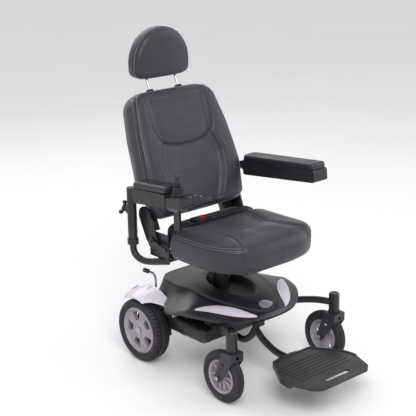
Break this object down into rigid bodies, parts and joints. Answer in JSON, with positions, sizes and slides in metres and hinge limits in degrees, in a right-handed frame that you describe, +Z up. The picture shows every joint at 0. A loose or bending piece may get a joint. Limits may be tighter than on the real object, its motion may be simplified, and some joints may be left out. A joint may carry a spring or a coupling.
{
  "type": "power wheelchair",
  "caption": "Power wheelchair: padded swivel captain's seat with headrest and lap belt, flip-up armrests, joystick, driven rear wheels, swivelling front casters and a fold-up footplate.",
  "frame": {"origin": "on the floor, in the middle of the chair's length and width", "axes": "+Z up, +X to the occupant's left, the occupant faces -Y"},
  "size_m": [0.641, 1.059, 1.285],
  "materials": {
    "frame_black": "semi-gloss black powder coat",
    "arm_black": "black powder-coated aluminium, satin",
    "shroud_plastic": "fine grained black moulding",
    "accent_white": "pale pearl gloss plastic",
    "badge_silver": "bright silver plastic",
    "battery_case": "plain grey-black plastic, lead inside",
    "motor_case": "black painted steel and alloy",
    "tyre_rubber": "worn black rubber",
    "rim_grey": "light grey moulded wheel",
    "bright_steel": "bright plated steel",
    "fork_metal": "dark grey cast alloy",
    "footplate_plastic": "ribbed black plastic",
    "seat_skin": "charcoal leatherette over foam, light stitching",
    "belt_web": "black woven webbing",
    "buckle_black": "black plastic",
    "button_red": "red plastic",
    "pad_skin": "smooth black moulded polyurethane",
    "joystick_plastic": "black moulding",
    "boot_rubber": "soft black rubber bellows",
    "key_grey": "grey keys",
    "knob_plastic": "black plastic"
  },
  "bodies": {
    "chassis": {"frame": "frame_black", "caster_arm_left": "frame_black", "caster_arm_right": "frame_black", "shroud": "shroud_plastic", "battery_lid": "shroud_plastic", "accent_left": "accent_white", "accent_right": "accent_white", "badge": "badge_silver", "fender_left": "accent_white", "fender_right": "accent_white", "battery_left": "battery_case", "battery_right": "battery_case", "motor_left": "motor_case", "motor_right": "motor_case", "seat_tube": "frame_black", "foot_hanger": "frame_black"},
    "footrest": {"footplate": "footplate_plastic"},
    "seat": {"seat_post": "frame_black", "seat_frame": "frame_black", "seat_cushion": "seat_skin", "belt_left": "belt_web", "belt_right": "belt_web", "buckle": "buckle_black"},
    "belt_button": {"buckle_button": "button_red"},
    "recline_handle": {"recline_lever": "knob_plastic"},
    "backrest": {"back_cushion": "seat_skin", "back_frame": "frame_black"},
    "headrest": {"head_pad": "seat_skin", "head_rods": "bright_steel"},
    "stick_gimbal": {"joystick_gimbal": "buckle_black"},
    "stick": {"joystick_stick": "buckle_black"},
    "power_key": {"key_power": "key_grey"},
    "slower_key": {"key_slower": "key_grey"},
    "faster_key": {"key_faster": "key_grey"},
    "wheel_left": {"tyre_left": "tyre_rubber", "rim_left": "rim_grey", "shaft_left": "bright_steel"},
    "caster_left": {"fork_left": "fork_metal", "caster_axle_left": "bright_steel"},
    "caster_wheel_left": {"caster_tyre_left": "tyre_rubber", "caster_rim_left": "rim_grey"},
    "armrest_upright_left": {"arm_post_left": "arm_black"},
    "height_knob_left": {"arm_knob_left": "knob_plastic"},
    "freewheel_lever_left": {"freewheel_left": "bright_steel"},
    "armrest_left": {"arm_body_left": "arm_black", "arm_pad_left": "pad_skin"},
    "wheel_right": {"tyre_right": "tyre_rubber", "rim_right": "rim_grey", "shaft_right": "bright_steel"},
    "caster_right": {"fork_right": "fork_metal", "caster_axle_right": "bright_steel"},
    "caster_wheel_right": {"caster_tyre_right": "tyre_rubber", "caster_rim_right": "rim_grey"},
    "armrest_upright_right": {"arm_post_right": "arm_black"},
    "height_knob_right": {"arm_knob_right": "knob_plastic"},
    "freewheel_lever_right": {"freewheel_right": "bright_steel"},
    "armrest_right": {"arm_body_right": "arm_black", "arm_pad_right": "pad_skin", "joystick_case": "joystick_plastic", "joystick_boot": "boot_rubber"}
  },
  "joints": [
    {"name": "wheel_spin_left", "type": "hinge", "parent": "chassis", "child": "wheel_left", "pos_m": [0.254, 0.3185, 0.127], "axis": [1, 0, 0], "continuous": true},
    {"name": "caster_swivel_left", "type": "hinge", "parent": "chassis", "child": "caster_left", "pos_m": [0.27, -0.2195, 0.252], "axis": [0, 0, 1], "continuous": true},
    {"name": "caster_spin_left", "type": "hinge", "parent": "caster_left", "child": "caster_wheel_left", "pos_m": [0.27, -0.1735, 0.1], "axis": [1, 0, 0], "continuous": true},
    {"name": "arm_height_left", "type": "slide", "parent": "seat", "child": "armrest_upright_left", "axis": [0, 0, 1], "range_m": [0, 0.04]},
    {"name": "arm_knob_turn_left", "type": "hinge", "parent": "armrest_upright_left", "child": "height_knob_left", "pos_m": [0.262, 0.4035, 0.614], "axis": [0, 1, 0], "continuous": true},
    {"name": "arm_flip_left", "type": "hinge", "parent": "armrest_upright_left", "child": "armrest_left", "pos_m": [0.268, 0.2995, 0.712], "axis": [-1, 0, 0], "range_deg": [0, 100]},
    {"name": "freewheel_turn_left", "type": "hinge", "parent": "chassis", "child": "freewheel_lever_left", "pos_m": [0.166, 0.3455, 0.19], "axis": [0, 0, -1], "range_deg": [0, 70]},
    {"name": "wheel_spin_right", "type": "hinge", "parent": "chassis", "child": "wheel_right", "pos_m": [-0.254, 0.3185, 0.127], "axis": [1, 0, 0], "continuous": true},
    {"name": "caster_swivel_right", "type": "hinge", "parent": "chassis", "child": "caster_right", "pos_m": [-0.27, -0.2195, 0.252], "axis": [0, 0, 1], "continuous": true},
    {"name": "caster_spin_right", "type": "hinge", "parent": "caster_right", "child": "caster_wheel_right", "pos_m": [-0.27, -0.1735, 0.1], "axis": [1, 0, 0], "continuous": true},
    {"name": "arm_height_right", "type": "slide", "parent": "seat", "child": "armrest_upright_right", "axis": [0, 0, 1], "range_m": [0, 0.04]},
    {"name": "arm_knob_turn_right", "type": "hinge", "parent": "armrest_upright_right", "child": "height_knob_right", "pos_m": [-0.262, 0.4035, 0.614], "axis": [0, 1, 0], "continuous": true},
    {"name": "arm_flip_right", "type": "hinge", "parent": "armrest_upright_right", "child": "armrest_right", "pos_m": [-0.268, 0.2995, 0.712], "axis": [-1, 0, 0], "range_deg": [0, 100]},
    {"name": "freewheel_turn_right", "type": "hinge", "parent": "chassis", "child": "freewheel_lever_right", "pos_m": [-0.166, 0.3455, 0.19], "axis": [0, 0, 1], "range_deg": [0, 70]},
    {"name": "footplate_fold", "type": "hinge", "parent": "chassis", "child": "footrest", "pos_m": [0, -0.2345, 0.107], "axis": [-1, 0, 0], "range_deg": [0, 85]},
    {"name": "seat_swivel", "type": "hinge", "parent": "chassis", "child": "seat", "pos_m": [0, 0.1375, 0.396], "axis": [0, 0, 1], "continuous": true},
    {"name": "belt_release", "type": "slide", "parent": "seat", "child": "belt_button", "axis": [0, 0, -1], "range_m": [0, 0.002], "stiffness_N_per_m": 400, "springref_m": -0.002},
    {"name": "recline_pull", "type": "hinge", "parent": "seat", "child": "recline_handle", "pos_m": [0.232, 0.2685, 0.502], "axis": [1, 0, 0], "range_deg": [0, 25], "stiffness_Nm_per_rad": 0.6, "springref_deg": -11.46},
    {"name": "backrest_recline", "type": "hinge", "parent": "seat", "child": "backrest", "pos_m": [0, 0.2685, 0.502], "axis": [1, 0, 0], "range_deg": [-10, 20]},
    {"name": "headrest_height", "type": "slide", "parent": "backrest", "child": "headrest", "axis": [0, 0.3875, 0.9219], "range_m": [-0.03, 0.04]},
    {"name": "stick_pitch", "type": "hinge", "parent": "armrest_right", "child": "stick_gimbal", "pos_m": [-0.286, 0.0455, 0.737], "axis": [1, 0, 0], "range_deg": [-12, 12], "stiffness_Nm_per_rad": 0.3},
    {"name": "stick_roll", "type": "hinge", "parent": "stick_gimbal", "child": "stick", "pos_m": [-0.286, 0.0455, 0.737], "axis": [0, 1, 0], "range_deg": [-12, 12], "stiffness_Nm_per_rad": 0.3},
    {"name": "press_power", "type": "slide", "parent": "armrest_right", "child": "power_key", "axis": [0, 0, -1], "range_m": [0, 0.0015], "stiffness_N_per_m": 250, "springref_m": -0.002},
    {"name": "press_slower", "type": "slide", "parent": "armrest_right", "child": "slower_key", "axis": [0, 0, -1], "range_m": [0, 0.0015], "stiffness_N_per_m": 250, "springref_m": -0.002},
    {"name": "press_faster", "type": "slide", "parent": "armrest_right", "child": "faster_key", "axis": [0, 0, -1], "range_m": [0, 0.0015], "stiffness_N_per_m": 250, "springref_m": -0.002}
  ]
}
